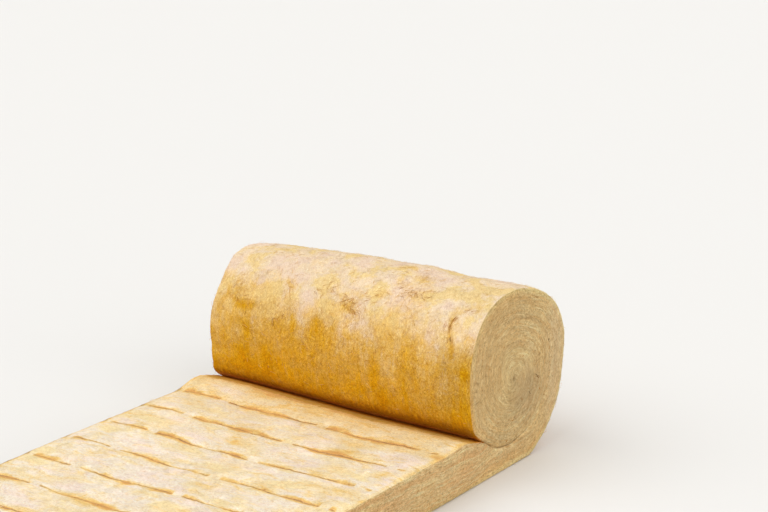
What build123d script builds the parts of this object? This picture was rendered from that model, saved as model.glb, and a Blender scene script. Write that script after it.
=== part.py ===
from build123d import *

import os
from math import asin, degrees, pi

# A roll of glass-wool insulation, partly unrolled: one mat that lies flat and then winds up into its roll.
# The mat lies along Y with its cut end towards -Y. The roll lies across it with its axis along X.
# All sizes are in millimetres, and the floor is at Z = 0.

# The mat
mat_width = 600.0
mat_length = 2700.0  # laid part and turns together, along the middle of the thickness
laid_thickness = 90.0  # where the wool has sprung back

# The roll
outer_radius = 185.0  # of the outermost quarter turn, from the floor up to the back
turn_thickness = 54.0  # of the wool while it is wound tight
floor_sag = 14.0  # how far the weight flattens the round at the floor
lift_off_radius = 60.0  # rounding where the outer turn leaves the floor

# The nip, where the roll rests on the laid mat
nip_thickness = 74.0
lip_run = 45.0  # the mat's top dips over this distance before the nip
recovery_run = 270.0  # the wool has its laid thickness this far from the nip

# The cut ends of the wool
edge_softness = 4.0
seam_width = 3.0  # the line between two turns
seam_depth = 6.0
seam_mouth = 8.0  # the line opens this far out of the nip

# A turn is four quarter arcs, each a quarter of the turn's thickness tighter than the last.
quarter_step = turn_thickness / 4
middle_radius = outer_radius - turn_thickness / 2
wound_quarters = int(middle_radius / quarter_step) + 1
wound_length = sum(middle_radius - k * quarter_step for k in range(wound_quarters)) * pi / 2
laid_length = mat_length - wound_length

# The origin is on the floor, in the middle of the part. The round stands on its foot.
foot_y = (laid_length - outer_radius) / 2
cut_end_y = foot_y - laid_length

# The nip lies on the fourth quarter arc, this many degrees below the front of the roll.
front_quarter = 3
front_height = outer_radius + quarter_step - floor_sag
front_radius = outer_radius - front_quarter * quarter_step
nip_angle = degrees(asin((front_height - nip_thickness) / front_radius))


def quarter_arc(number, start, heading, angle=90.0):
    """The quarter arc of that number, counted from the floor at the back, in towards the core."""
    return JernArc(start, heading, outer_radius - number * quarter_step, angle)


def roll_outline():
    """The three quarter arcs over the back and the top, and the front down to the nip."""
    start, heading = (foot_y, -floor_sag), (1, 0)
    for number in range(front_quarter):
        arc = quarter_arc(number, start, heading)
        start, heading = arc @ 1, arc % 1
    return quarter_arc(front_quarter, start, heading, nip_angle)


def seam_line(front):
    """The line between the turns, from the nip round to the eye of the roll."""
    mouth = 1 - seam_mouth / front.length
    arc = quarter_arc(front_quarter, front @ mouth, front % mouth, 90 - mouth * nip_angle)
    for number in range(front_quarter + 1, wound_quarters + 1):
        arc = quarter_arc(number, arc @ 1, arc % 1)


def mat_top(nip):
    """The top of the laid mat, which dips into the nip, and the mat's cut end."""
    sprung_back = (nip.X - recovery_run, laid_thickness)
    lip = (nip.X - lip_run, laid_thickness)
    Bezier(nip, lip, ((sprung_back[0] + lip[0]) / 2, laid_thickness), sprung_back)
    Polyline(
        sprung_back,
        (cut_end_y, laid_thickness),
        (cut_end_y, -floor_sag),
        (foot_y, -floor_sag),
    )


with BuildPart() as insulation_mat:
    # The section, drawn as if nothing flattened it
    with BuildSketch(Plane.YZ) as section:
        with BuildLine():
            front = roll_outline()
            mat_top(front @ 1)
        make_face()
    extrude(amount=mat_width / 2, both=True)

    # The floor flattens it, and the outer turn leaves the floor in a soft bend
    split(bisect_by=Plane.XY)
    lift_off = edges().filter_by(Axis.X).group_by(Axis.Z)[0].sort_by(Axis.Y)[-1]
    fillet(lift_off, lift_off_radius)

    # The cut end of the mat is soft along its edges
    cut_end = faces().filter_by(Axis.Y).sort_by(Axis.Y)[0]
    fillet(cut_end.edges().filter_by(Axis.X).group_by(Axis.Z)[-1], edge_softness)

    # The turns show on both ends of the roll
    for side in (1, -1):
        with BuildSketch(Plane.YZ.offset(side * mat_width / 2)):
            with BuildLine():
                seam_line(front)
            trace(line_width=seam_width)
        extrude(amount=-side * seam_depth, mode=Mode.SUBTRACT)

insulation_mat.part.label = "insulation_mat"

os.makedirs("parts", exist_ok=True)
export_step(insulation_mat.part, "parts/insulation_mat.step")
print(f"laid {laid_length:.0f} mm and wound {wound_length:.0f} mm of mat")
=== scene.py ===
import math
from functools import partial

import bpy
import numpy as np
from mathutils import Matrix, Vector


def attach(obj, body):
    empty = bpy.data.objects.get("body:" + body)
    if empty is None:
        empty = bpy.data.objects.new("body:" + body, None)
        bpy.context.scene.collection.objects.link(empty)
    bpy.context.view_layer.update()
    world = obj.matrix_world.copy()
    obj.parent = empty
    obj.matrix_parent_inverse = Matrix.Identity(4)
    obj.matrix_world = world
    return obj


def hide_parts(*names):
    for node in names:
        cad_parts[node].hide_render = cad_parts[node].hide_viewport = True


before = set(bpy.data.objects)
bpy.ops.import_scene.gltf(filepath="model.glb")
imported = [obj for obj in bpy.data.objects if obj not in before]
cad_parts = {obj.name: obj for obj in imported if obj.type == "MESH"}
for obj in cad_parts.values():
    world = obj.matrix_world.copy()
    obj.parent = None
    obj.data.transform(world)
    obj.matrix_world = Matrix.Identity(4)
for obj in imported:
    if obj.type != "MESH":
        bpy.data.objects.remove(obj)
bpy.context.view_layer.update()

print("frame loaded")

# The mat's own sizes in metres, the same as in the part's source, and how finely it is drawn.
mat = dict(
    width=0.600, length=2.700, laidThickness=0.090,
    outerRadius=0.185, turnThickness=0.054, floorSag=0.014, liftOffRadius=0.060,
    nipThickness=0.074, lipRun=0.045, recoveryRun=0.270, underRun=0.300,
    quarters=14,        # quarter turns drawn on the ends, down to the eye
    rowsInQuarter=48, rowsLaid=204, columns=112,
    edgeRounding=0.004, creviceGap=0.003, creviceRows=3, openingRows=16,
    markSpacing=0.100, firstMark=0.246,
)

quarterStep = mat["turnThickness"] / 4
middleRadius = mat["outerRadius"] - mat["turnThickness"] / 2
woundQuarters = int(middleRadius / quarterStep) + 1
woundLength = sum(middleRadius - k * quarterStep for k in range(woundQuarters)) * math.pi / 2
laidLength = mat["length"] - woundLength
footY = (laidLength - mat["outerRadius"]) / 2
cutEndY = footY - laidLength
frontRadius = mat["outerRadius"] - 3 * quarterStep
frontHeight = mat["outerRadius"] + quarterStep - mat["floorSag"]
nipTurn = math.asin((frontHeight - mat["nipThickness"]) / frontRadius) / (math.pi / 2)
halfWidth = mat["width"] / 2


# Numpy helpers. A point of the section is one complex number, y + z j.

def direction(quarterTurns):
    # Unit vector at that many quarter turns, 0 pointing back along +Y and 1 pointing up.
    return np.exp(0.5j * math.pi * np.asarray(quarterTurns, float))


def quarterCentres():
    # The centre of each quarter arc: it moves by one step towards the start of the arc at every quarter.
    moves = quarterStep * direction(np.arange(mat["quarters"] + 1))
    first = footY + 1j * (mat["outerRadius"] - mat["floorSag"])
    return first + np.concatenate([[0], np.cumsum(moves)[:-1]])


def outerLine(turn):
    # The roll's outer line: centre of the quarter plus its radius in the direction of the turn.
    # turn counts quarters from the foot, 1 at the back, 2 on top, 3 at the front.
    turn = np.asarray(turn, float)
    quarter = np.clip(np.floor(turn + 1e-9), 0, mat["quarters"] - 1).astype(int)
    radius = mat["outerRadius"] - quarter * quarterStep
    return quarterCentres()[quarter] + radius * direction(turn - 1)


def floorLine(turn):
    # The floor and the lift-off bend flatten the first quarter: the nearest of the three along the radius.
    centre = quarterCentres()[0]
    ray = direction(np.asarray(turn, float) - 1)
    toFloor = centre.imag / np.maximum(-ray.imag, 1e-6)
    bend = mat["liftOffRadius"]
    drop = centre.imag - bend
    bendCentre = math.sqrt((mat["outerRadius"] - bend) ** 2 - drop ** 2) - 1j * drop
    along = (ray * np.conj(bendCentre)).real
    toBend = along + np.sqrt(np.maximum(along ** 2 - abs(bendCentre) ** 2 + bend ** 2, 0))
    onBend = (ray.real * toFloor > bendCentre.real) & (ray.imag < (bendCentre / abs(bendCentre)).imag)
    return centre + ray * np.where(onBend, toBend, np.minimum(toFloor, mat["outerRadius"]))


def matTop(y):
    # Height of the laid mat: a cubic curve that dips into the nip, level beyond it.
    t = np.linspace(0, 1, 200)
    nipY = footY - frontRadius * math.cos(nipTurn * math.pi / 2)
    sprung = nipY - mat["recoveryRun"]
    lip = nipY - mat["lipRun"]
    weights = [(1 - t) ** 3, 3 * t * (1 - t) ** 2, 3 * t ** 2 * (1 - t), t ** 3]
    curveY = sum(w * v for w, v in zip(weights, [nipY, lip, (sprung + lip) / 2, sprung]))
    heights = [mat["nipThickness"]] + [mat["laidThickness"]] * 3
    curveZ = sum(w * v for w, v in zip(weights, heights))
    return np.interp(y, curveY[::-1], curveZ[::-1])


def smoothStep(value, low, high):
    t = np.clip((value - low) / (high - low), 0, 1)
    return t * t * (3 - 2 * t)


def wander(points, size, seed):
    # Smooth random field between -1 and 1: random values on a cubic lattice of that size in metres,
    # blended between the eight corners round each point.
    table = np.random.default_rng(seed).uniform(-1, 1, (32, 32, 32))
    p = np.asarray(points) / size + 100.37
    base = np.floor(p).astype(int)
    f = smoothStep(p - base, 0, 1)
    total = 0
    for corner in np.ndindex(2, 2, 2):
        share = np.prod([f[..., a] if corner[a] else 1 - f[..., a] for a in range(3)], axis=0)
        cell = [(base[..., a] + corner[a]) % 32 for a in range(3)]
        total = total + share * table[tuple(cell)]
    return total


def runningLength(line):
    return np.concatenate([[0], np.cumsum(abs(np.diff(line)))])


# The outer and the inner point of each row of the mat, from the cut end to the nip, on under the roll, and
# round to the eye.
laidY = np.linspace(cutEndY, outerLine(3 + nipTurn).real, mat["rowsLaid"] + 1)
laidInner = laidY + 1j * matTop(laidY)
underCentre = quarterCentres()[3]


def floorBelow(turn):
    # Where the ray from the fourth centre through that turn meets the floor.
    ray = direction(turn - 1)
    return underCentre.real + ray.real * underCentre.imag / -ray.imag + 0j


underShare = smoothStep(laidY, laidY[-1] - mat["underRun"], laidY[-1])
laidOuter = laidY + (floorBelow(3 + nipTurn) - laidY[-1]) * underShare

quarterRows = mat["rowsInQuarter"]
splitRows = round(quarterRows * nipTurn)
toNipTurns = np.linspace(0, nipTurn, splitRows + 1)[:-1]
pastNipTurns = np.linspace(nipTurn, 1, quarterRows - splitRows + 1)[:-1]
frontTurns = np.concatenate([toNipTurns, pastNipTurns])
evenTurns = np.arange(quarterRows) / quarterRows
turns = [q + (frontTurns if q % 4 == 3 else evenTurns) for q in range(mat["quarters"])]
turns = np.concatenate([*turns, [mat["quarters"]]])
perTurn = 4 * quarterRows
eye = outerLine(mat["quarters"])

turnOuter = outerLine(turns)
turnOuter[turns < 1] = floorLine(turns[turns < 1])
turnInner = np.full(len(turns), eye)
turnInner[:-perTurn] = outerLine(turns[perTurn:])

nipRow = 3 * quarterRows + splitRows     # the row of the roll's skin that meets the laid mat
underTurns = turns[nipRow:perTurn]
underOuter = floorBelow(underTurns)
underInner = outerLine(underTurns)

pathOuter = np.concatenate([laidOuter[:-1], underOuter, turnOuter])
pathInner = np.concatenate([laidInner[:-1], underInner, turnInner])
nipPathRow = len(laidOuter) - 1
firstTurnRow = nipPathRow + len(underOuter)
rollNip = firstTurnRow + nipRow
pathLength = runningLength((pathOuter + pathInner) / 2)
skinLength = runningLength(pathOuter)

print("section laid out, %.3f m laid and %.3f m wound" % (laidLength, woundLength))


def creviceOpening(rowsPastNip):
    # The nip's two sides part by the gap, most at the nip and nothing a few rows in.
    inside = np.clip(1 - rowsPastNip / mat["creviceRows"], 0, 1)
    outside = smoothStep(rowsPastNip, -mat["openingRows"], 0)
    return mat["creviceGap"] / 2 * np.where(rowsPastNip < 0, outside, inside)


rowNumber = np.arange(len(pathOuter))
apart = (pathInner - pathOuter) / np.maximum(abs(pathInner - pathOuter), 1e-6)
apart[-1] = apart[-2]
pastHalfTurn = rowNumber > firstTurnRow + 2 * quarterRows
pathOuter = pathOuter + apart * creviceOpening(rowNumber - rollNip) * pastHalfTurn
pathInner = pathInner - apart * creviceOpening(rowNumber - nipPathRow) * (rowNumber < firstTurnRow)

# Columns across the width and shares of the thickness, closer together near the edges.
edgeColumns = np.array([0, 0.002, 0.0045, 0.008, 0.0125])
evenHalf = halfWidth - edgeColumns[-1]
evenColumns = np.linspace(-evenHalf, evenHalf, mat["columns"] - 2 * len(edgeColumns) + 3)
acrossX = np.concatenate([-halfWidth + edgeColumns[:-1], evenColumns, (halfWidth - edgeColumns[:-1])[::-1]])
throughShare = np.array([0, 2, 4.5, 8, 13.5, 20, 27, 34, 40.5, 46, 49.5, 52, 54]) / 54


def roundedEdge(distance):
    # An eighth of a circle from each face: how far a point slides along its face, and how far it sinks.
    bend = math.pi / 4 * np.clip(1 - distance / mat["edgeRounding"], 0, 1)
    slide = mat["edgeRounding"] * (1 - np.sin(bend)) - distance
    sink = mat["edgeRounding"] * (1 - np.cos(bend))
    return np.where(distance < mat["edgeRounding"], slide, 0), sink


def together(*values):
    return np.stack(np.broadcast_arrays(*values), axis=-1)


def solid3(x, section):
    return together(x, section.real, section.imag)


def faceAcross(line, inward, lengthAlong):
    # A face across the width: the section's line carried along X, its long edges rounded over.
    line, inward, x = line[:, None], inward[:, None], acrossX[None, :]
    slide, sink = roundedEdge(halfWidth - abs(x))
    shaped = solid3(x - np.sign(x) * slide, line + inward * sink)
    return solid3(x, line), shaped, together(x, lengthAlong[:, None])


# The cut edges, in metres. The seam is the line between two turns; its fade is in quarter turns. On the UV map
# the left side and the square end are shifted.
cutEdge = dict(
    seamDepth=0.0032, seamFade=2.5, seamLeast=0.0005, seamWidth=0.0028,
    swell=0.0015, mostSwell=1.4, leftShift=8.0, endShift=16.4,
)


def seamGroove(turn, distance):
    # The seam is deepest at the nip and fades towards the eye. It is a bell across its width.
    deep = cutEdge["seamDepth"] * np.exp((3.5 - turn) / cutEdge["seamFade"]) + cutEdge["seamLeast"]
    return deep[:, None] * np.exp(-(distance / cutEdge["seamWidth"]) ** 2)


def cutFace(side):
    # A cut edge, followed along the mat's length: each turn swells a little between its seams.
    outer, inner, share = pathOuter[:, None], pathInner[:, None], throughShare[None, :]
    thickness = abs(inner - outer)
    fromOuter, fromInner = thickness * share, thickness * (1 - share)
    rowTurn = np.full(len(pathOuter), -9.0)
    rowTurn[nipPathRow:firstTurnRow] = underTurns - 4
    rowTurn[firstTurnRow:] = turns
    outerIsSeam = (rowTurn > 3 + nipTurn)[:, None]
    innerIsSeam = (rowTurn > nipTurn - 1)[:, None]
    outerSlide, outerSink = roundedEdge(fromOuter)
    innerSlide, innerSink = roundedEdge(fromInner)
    sink = np.where(outerIsSeam, seamGroove(rowTurn, fromOuter), outerSink)
    sink = sink + np.where(innerIsSeam, seamGroove(rowTurn + 4, fromInner), innerSink)
    slide = np.where(outerIsSeam, 0, outerSlide) - np.where(innerIsSeam, 0, innerSlide)
    fullness = np.minimum(thickness / mat["turnThickness"], cutEdge["mostSwell"])
    swell = cutEdge["swell"] * (1 - (2 * share - 1) ** 2) * fullness
    middle = outer + (inner - outer) * share
    shaped = solid3(side * (halfWidth - sink + swell), middle + apart[:, None] * slide)
    lengthAlong = pathLength[:, None] + cutEdge["leftShift"] * (side < 0)
    return solid3(side * halfWidth, middle), shaped, together(lengthAlong, fromOuter)


def squareEnd():
    # The end that the knife left: straight through the thickness, rounded over where it meets the edges.
    share, x = throughShare[:, None], acrossX[None, :]
    flat = solid3(x, pathOuter[0] + (pathInner[0] - pathOuter[0]) * share)
    slide, sink = roundedEdge(halfWidth - abs(x))
    upSlide, upSink = roundedEdge(mat["laidThickness"] * (1 - share))
    shaped = flat.copy()
    shaped[..., 0] -= np.sign(x) * slide
    shaped[..., 1] += sink + upSink
    shaped[..., 2] -= upSlide
    return flat, shaped, together(x + cutEdge["endShift"], mat["laidThickness"] * share)


# Each face: its flat grid, its shaped grid, its lengths, whether its cells are flipped, and its kind.
skinRows = rollNip + mat["creviceRows"] + 1
topRows = nipPathRow + mat["creviceRows"] + 1
topLength = np.concatenate([laidY, laidY[-1] + np.cumsum(abs(np.diff(pathInner[nipPathRow:topRows])))])
grids = {
    "skin": (*faceAcross(pathOuter[:skinRows], apart[:skinRows], skinLength[:skinRows]), False, 0),
    "top": (*faceAcross(pathInner[:topRows], -apart[:topRows], topLength), True, 1),
    "right": (*cutFace(1), False, 2),
    "left": (*cutFace(-1), True, 2),
    "end": (*squareEnd(), True, 2),
}


def cellsOf(number, flipped=False):
    # The four corners of each cell in a grid of point numbers.
    corners = [number[:-1, :-1], number[1:, :-1], number[1:, 1:], number[:-1, 1:]]
    return np.stack(corners[::-1] if flipped else corners, axis=-1).reshape(-1, 4)


def sewTogether():
    # Points of the flat grids that fall on one spot, to 5 micrometres, become one point, at the mean of the
    # shaped ones.
    flat, shaped, lengths = (
        np.concatenate([grid[n].reshape(-1, grid[n].shape[-1]) for grid in grids.values()]) for n in range(3))
    spots = np.round(flat * 2e5).astype(np.int64)
    same = np.unique(spots, axis=0, return_inverse=True)[1].reshape(-1)
    count = np.bincount(same)
    points = np.stack([np.bincount(same, shaped[:, a]) / count for a in range(3)], axis=1)
    quads, kinds, numbers, start = [], [], {}, 0
    for name, (grid, _, _, flipped, kind) in grids.items():
        size = grid.shape[0] * grid.shape[1]
        number = start + np.arange(size).reshape(grid.shape[:2])
        quads.append(cellsOf(number, flipped))
        kinds.append(np.full(len(quads[-1]), kind))
        numbers[name] = same[number]
        start += size
    return points, same, np.concatenate(quads), np.concatenate(kinds), lengths, numbers


points, same, quads, kinds, lengths, gridNumbers = sewTogether()


def withoutCollapsed(quads, kinds):
    # A quad with two corners on one point becomes a triangle, and one with more is dropped.
    corners = same[quads]
    repeats = corners == np.roll(corners, -1, axis=1)
    whole = repeats.sum(axis=1) == 0
    whole &= (corners[:, 0] != corners[:, 2]) & (corners[:, 1] != corners[:, 3])
    three = repeats.sum(axis=1) == 1
    keep = ~repeats[three]
    triangles = quads[three][keep].reshape(-1, 3)
    return [quads[whole], triangles], [kinds[whole], kinds[three]]


shapes, shapeKinds = withoutCollapsed(quads, kinds)


def outwardNormals(points):
    # At each point the sum of its faces' normals, each as long as its face is large, made one unit long.
    total = np.zeros((len(points), 3))
    for group in shapes:
        corners = same[group]
        a, b, c, d = (points[corners[:, n]] for n in (0, 1, 2, -1))
        normal = np.cross(c - a, d - b) if group.shape[1] == 4 else np.cross(b - a, c - a)
        for n in range(corners.shape[1]):
            for axis in range(3):
                total[:, axis] += np.bincount(corners[:, n], normal[:, axis], len(points))
    return total / np.maximum(np.linalg.norm(total, axis=1, keepdims=True), 1e-12)


print("surfaces sewn, %d points" % len(points))

# How the wool swells and sags, in metres: the size and height of each kind of lump, how calm it is by the nip,
# how the top falls off towards its sides, and the dip along every cutting mark.
lumps = dict(
    kinds=((0.170, 0.0036), (0.060, 0.0018), (0.020, 0.0009), (0.008, 0.0005)),
    calmest=0.25, calmReach=(0.01, 0.07), floorReach=(0.001, 0.012),
    crownRight=0.0015, crownLeft=0.0025, crownRun=0.060, crownReach=(0.02, 0.12),
    markDip=0.0030, markWidth=0.0070, markEnd=0.030, dipPatch=0.050,
)

# Small creases pressed into the front of the roll: points across and down from topLine in millimetres, depth
# in metres and how much more amber they are.
creases = dict(
    width=0.0045, lines=[
        ([(240, 138), (234, 154), (236, 172), (242, 187), (250, 203), (257, 224)], 0.0028, 0.13),
        ([(262, 127), (253, 137), (246, 146)], 0.0020, 0.10),
        ([(26, 170), (34, 158), (46, 151), (66, 147), (86, 146)], 0.0022, 0.10),
        ([(6, 170), (22, 178), (40, 184)], 0.0026, 0.14),
        ([(-130, 149), (-119, 157), (-112, 167)], 0.0020, 0.10),
        ([(-216, 240), (-201, 251), (-186, 263)], 0.0020, 0.14),
        ([(-292, 196), (-270, 190), (-240, 200), (-218, 214)], 0.0018, 0.06),
        ([(-42, 140), (-30, 150), (-38, 163)], 0.0018, 0.08),
    ],
)


def creased(across, along):
    # Depth and amber of the creases: each falls off as a bell with the distance to its nearest straight piece.
    spot = across * 1000 + 1j * along * 1000
    depth, tint = np.zeros(spot.shape), np.zeros(spot.shape)
    for line, deep, amberMore in creases["lines"]:
        line = np.array([x + 1j * y for x, y in line])
        nearest = np.full(spot.shape, 1e9)
        for a, b in zip(line[:-1], line[1:]):
            share = np.clip(((spot - a) * np.conj(b - a)).real / abs(b - a) ** 2, 0, 1)
            nearest = np.minimum(nearest, abs(spot - a - share * (b - a)))
        bell = np.exp(-(nearest / 1000 / creases["width"]) ** 2)
        depth = np.maximum(depth, deep * bell)
        tint = np.maximum(tint, amberMore * bell)
    return depth, tint


# How far the roll is from round, in millimetres, by the degrees from its top, positive towards the front. It
# slumps forward, and it is slimmer at its left end. Along its length its top is a little uneven, in metres.
slump = dict(
    angles=[-180, -120, -90, -77, -60, -45, -25, -12, 0, 9, 25, 35, 42, 50, 60, 72, 85, 99, 117, 135, 180],
    atRight=[0, 0, 0, 2, 0, -6, -10, -9, -4.5, -2.5, 6, 9.5, 11.5, 11, 7.5, 4.5, 1, 0, 0, 0, 0],
    atLeft=[0, -5, -10, -14, -18, -22, -24, -24, -22, -20, -18, -23, -27, -28, -27, -25, -24, -25, -16, -1, 0],
    places=[-0.30, -0.27, -0.24, -0.18, -0.12, -0.03, 0.03, 0.30],
    leftShare=[1, 0.74, 0.55, 0.36, 0.22, 0.08, 0, 0],
    topPlaces=[-0.30, -0.18, -0.10, -0.03, 0.02, 0.09, 0.13, 0.17, 0.22, 0.26, 0.30],
    topLift=[0, 0, 0.001, 0.003, 0.002, 0.006, 0.003, -0.001, 0.001, -0.001, -0.002],
    topSpread=60, centre=(0.013, 0.175), radius=0.162, risesOver=(0.075, 0.105), startsOver=(0.22, 0.30),
    eyeShift=(-0.007, -0.012), eyeReach=0.060, endSkin=0.003,
)
rollCentre = np.array([footY, 0]) + slump["centre"]


def slumpOffset(x, y, z):
    angle = np.degrees(np.arctan2(rollCentre[0] - y, z - rollCentre[1]))
    right, left = (np.interp(angle, slump["angles"], slump[side]) for side in ("atRight", "atLeft"))
    share = np.interp(x, slump["places"], slump["leftShare"])
    lift = np.interp(x, slump["topPlaces"], slump["topLift"]) * np.exp(-(angle / slump["topSpread"]) ** 2)
    return (right + (left - right) * share) / 1000 + lift


# Where the roll presses on the laid mat, the wool bulges forward and up round the nip, more at the left.
nipBulge = dict(
    place=(0.360, 0.080), forward=0.016, lift=0.008, reachAlong=0.050, reachAbove=0.050, reachBelow=0.016,
    liftAbove=0.030, liftFrom=0.235, liftTo=0.325, liftEnds=(0.38, 0.43), forwardAtLeft=0.75, liftAtLeft=1.65,
)


def bulged(points):
    # The push forward is a bell along and up. The lift is level over the mat's top and fades in the roll.
    look = nipBulge
    x, y, z = points.T
    nipY, nipZ = look["place"]
    rise = z - nipZ
    up = rise / np.where(rise > 0, look["reachAbove"], look["reachBelow"])
    along = (y - nipY) / look["reachAlong"]
    left = smoothStep(-x, -0.10, 0.25)
    forward = look["forward"] * (1 + (look["forwardAtLeft"] - 1) * left)
    overMat = smoothStep(y, look["liftFrom"], look["liftTo"]) * (1 - smoothStep(y, *look["liftEnds"]))
    lift = look["lift"] * (1 + (look["liftAtLeft"] - 1) * left)
    lift *= overMat * np.clip(z / nipZ, 0, 1) * np.exp(-(np.maximum(rise, 0) / look["liftAbove"]) ** 2)
    moved = points.copy()
    moved[:, 1] -= forward * np.exp(-up ** 2 - along ** 2)
    moved[:, 2] += lift
    return moved


def swollen(points):
    # Lumps, dips and creases push each point along its normal. Then the slump scales the roll from its centre,
    # the nip bulges, and the eye shifts.
    x, y, z = points.T
    height = sum(wander(points, size, 11 + n) * amount for n, (size, amount) in enumerate(lumps["kinds"]))
    nipDistance = np.hypot(y - laidY[-1], z - mat["nipThickness"])
    height *= lumps["calmest"] + (1 - lumps["calmest"]) * smoothStep(nipDistance, *lumps["calmReach"])
    isTop = np.zeros(len(points))
    isTop[gridNumbers["top"].ravel()] = 1
    row = (y - mat["firstMark"]) / mat["markSpacing"]
    offRow = (row - np.round(row)) * mat["markSpacing"]
    dip = np.exp(-(offRow / lumps["markWidth"]) ** 2) * isTop * (y < mat["firstMark"] + lumps["markEnd"])
    dip *= 0.6 + 0.4 * wander(points, lumps["dipPatch"], 31)
    push = height * smoothStep(z, *lumps["floorReach"]) - lumps["markDip"] * dip
    across, along = np.moveaxis(grids["skin"][2], -1, 0)
    push[gridNumbers["skin"]] -= creased(across, along - skinStains["topLine"])[0]
    moved = points + outwardNormals(points) * push[:, None]
    edge = np.clip((abs(x) - halfWidth + lumps["crownRun"]) / lumps["crownRun"], 0, 1)
    drop = np.where(x > 0, lumps["crownRight"], lumps["crownLeft"]) * edge ** 2
    moved[:, 2] -= drop * isTop * smoothStep(laidY[-1] - y, *lumps["crownReach"])
    inRoll = smoothStep(z, *slump["risesOver"]) * smoothStep(y, *slump["startsOver"])
    scale = 1 + inRoll * slumpOffset(x, y, z) / slump["radius"]
    moved[:, 1:] = rollCentre + (moved[:, 1:] - rollCentre) * scale[:, None]
    moved = bulged(moved)
    onEnd = abs(x) > halfWidth - slump["endSkin"]
    nearEye = np.exp(-(abs(y + 1j * z - eye) / slump["eyeReach"]) ** 2) * onEnd
    moved[:, 1:] += nearEye[:, None] * slump["eyeShift"]
    moved[:, 2] = np.maximum(moved[:, 2], 0)
    return moved


# How amber the wool is, from 0 for cream to 1. On the roll it deepens towards the floor, in front and behind.
# Stains are in millimetres: across from the middle, along, half width, half length, strength. Along is counted
# from topLine down the front of the roll, and as y on the laid mat.
skinStains = dict(
    lengths=[1.121, 1.26, 1.36, 1.46, 1.56, 1.652, 1.752, 1.792, 1.832, 1.882, 1.942, 1.992, 2.040],
    amber=[0.85, 0.82, 0.66, 0.40, 0.16, 0.05, 0.08, 0.14, 0.28, 0.49, 0.64, 0.80, 0.90],
    topLine=1.652, wander=((0.040, 0.008), (0.014, 0.004)),
    spots=[
        (-212, 207, 26, 9, 0.40), (-196, 256, 8, 26, 0.24), (-206, 320, 22, 30, 0.26),
        (-150, 300, 11, 26, 0.26), (-158, 335, 20, 20, 0.18), (-97, 225, 8, 36, 0.20),
        (-128, 232, 9, 10, 0.12), (-150, 192, 10, 16, 0.14), (-32, 214, 10, 20, 0.28),
        (-44, 238, 9, 18, 0.18), (99, 275, 8, 26, 0.30), (110, 330, 11, 30, 0.24), (160, 292, 10, 34, 0.18),
        (168, 240, 10, 22, 0.12), (285, 250, 10, 30, 0.28), (280, 320, 14, 40, 0.14),
        (-240, 175, 40, 24, 0.18), (-290, 150, 20, 14, 0.10), (-122, 155, 14, 9, 0.16),
        (-14, 225, 12, 26, 0.12), (85, 50, 26, 14, 0.34), (137, 76, 16, 14, 0.24), (100, 105, 16, 12, 0.20),
        (140, 128, 22, 14, 0.18), (280, 125, 10, 12, 0.26), (265, 85, 10, 26, 0.14),
        (150, 180, 26, 30, 0.06), (26, 170, 26, 16, 0.16), (85, 138, 22, 6, 0.16), (-28, 146, 14, 12, 0.14),
        (45, 20, 14, 22, 0.12), (-135, 325, 12, 26, 0.10), (-232, 335, 14, 18, 0.12),
        (-50, 280, 24, 40, 0.08), (165, 110, 18, 26, 0.10), (68, 66, 10, 12, 0.14), (128, 92, 34, 34, 0.14),
        (-200, 262, 30, 60, 0.10), (-262, 146, 26, 14, 0.08), (-15, 215, 30, 40, 0.06),
        (60, 315, 60, 30, 0.06), (-95, 240, 24, 50, 0.06), (-105, 285, 16, 50, 0.06),
        (236, 160, 6, 22, 0.16), (250, 205, 6, 18, 0.12), (-185, 165, 24, 14, 0.08),
        (-70, 158, 24, 28, -0.18), (62, 160, 16, 7, -0.14), (130, 275, 9, 24, -0.12),
        (285, 160, 14, 14, -0.08), (-186, 230, 7, 20, -0.08), (205, 170, 34, 50, -0.06),
        (218, 140, 12, 10, -0.10), (222, 270, 30, 44, -0.06), (264, 185, 12, 26, -0.14),
        (-222, 262, 10, 18, -0.08), (40, 100, 30, 26, -0.08), (-285, 300, 14, 50, -0.08),
    ],
)
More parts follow.
